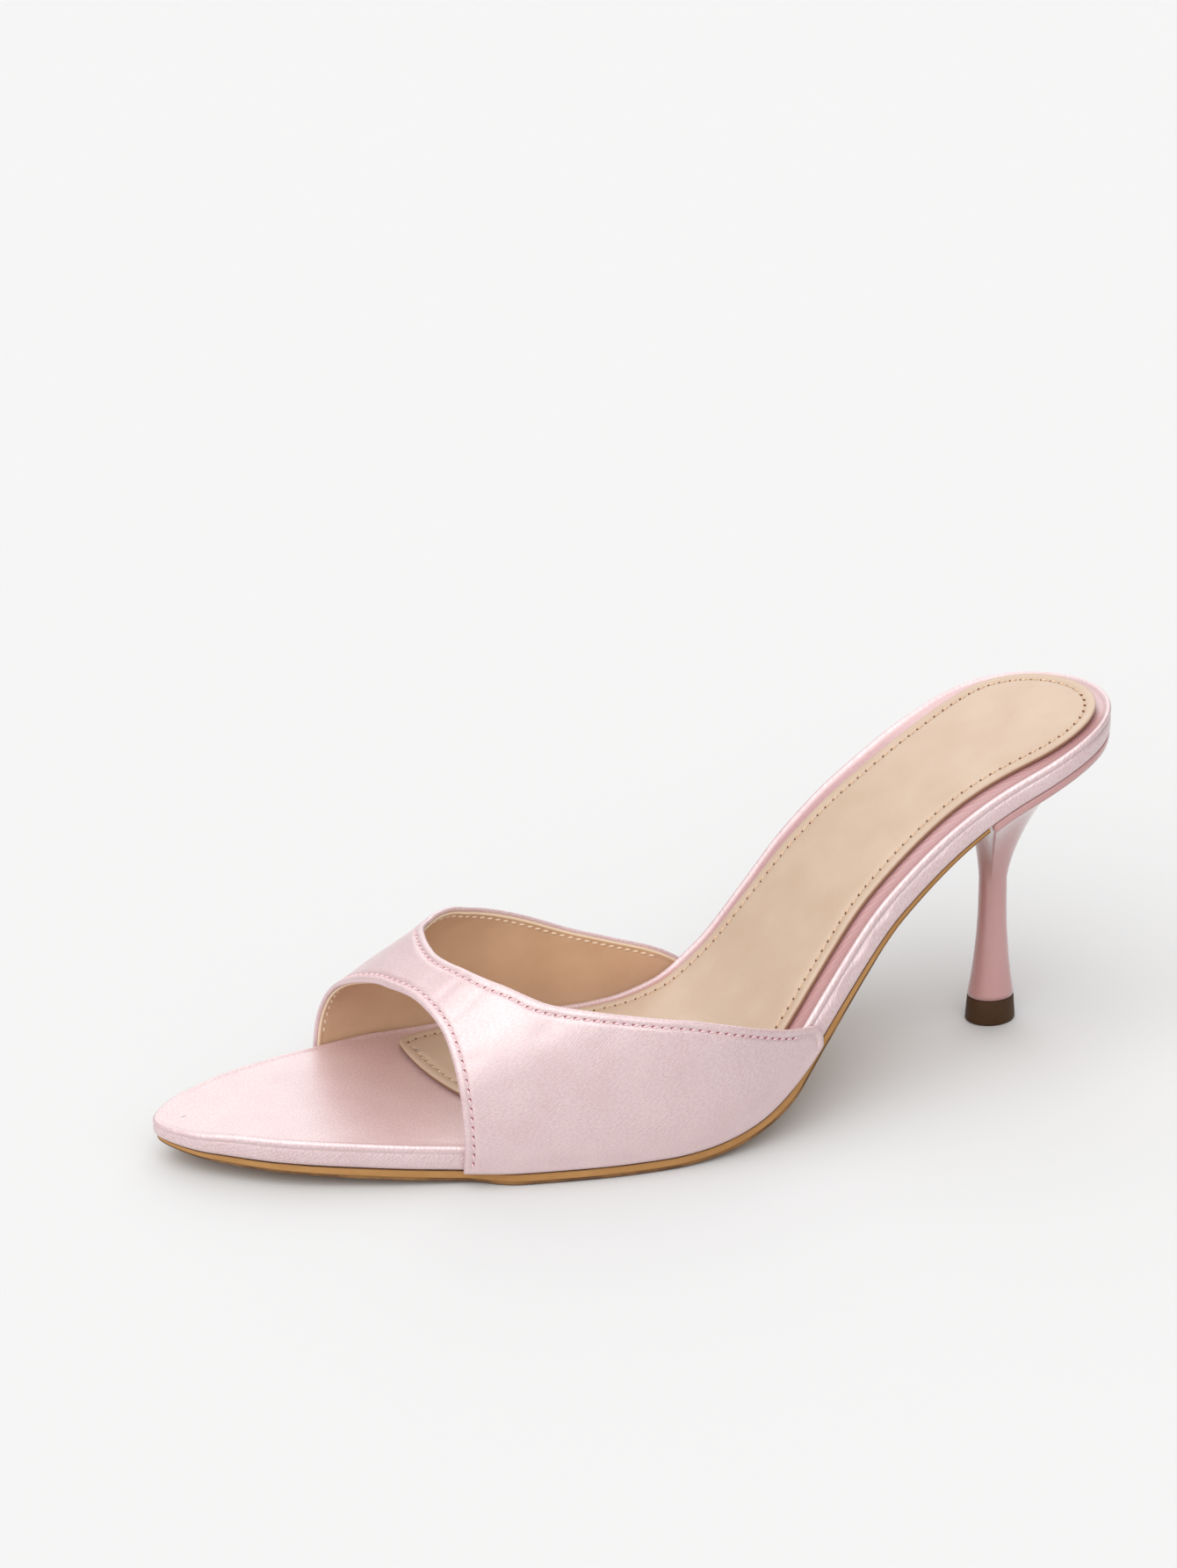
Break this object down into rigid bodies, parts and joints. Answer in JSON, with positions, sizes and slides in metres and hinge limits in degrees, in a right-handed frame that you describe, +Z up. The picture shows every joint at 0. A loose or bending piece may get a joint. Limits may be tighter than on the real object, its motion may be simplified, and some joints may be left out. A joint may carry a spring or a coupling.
{
  "type": "heeled mule",
  "caption": "Open-toe backless heeled mule, left shoe: pale pink satin band and footbed, padded tan sock, slim flared stiletto heel.",
  "frame": {"origin": "centre of the shoe's outline on the floor it stands on", "axes": "+X towards the toe, +Y towards the wearer's left, which is the outer side of this left shoe, +Z up"},
  "size_m": [0.232, 0.0752, 0.0828],
  "materials": {
    "outsole": "amber tan, semi-matt, cut edge",
    "footbed": "pale pink satin",
    "sock": "tan synthetic leather, soft matt",
    "upper": "pale pink satin, tan leather lining",
    "heel": "dusty pink gloss lacquer",
    "heel_tip": "dark brown, semi-matt"
  },
  "bodies": {
    "root": {"outsole": "outsole", "footbed": "footbed", "sock": "sock", "upper": "upper", "heel": "heel", "heel_tip": "heel_tip"}
  },
  "joints": []
}
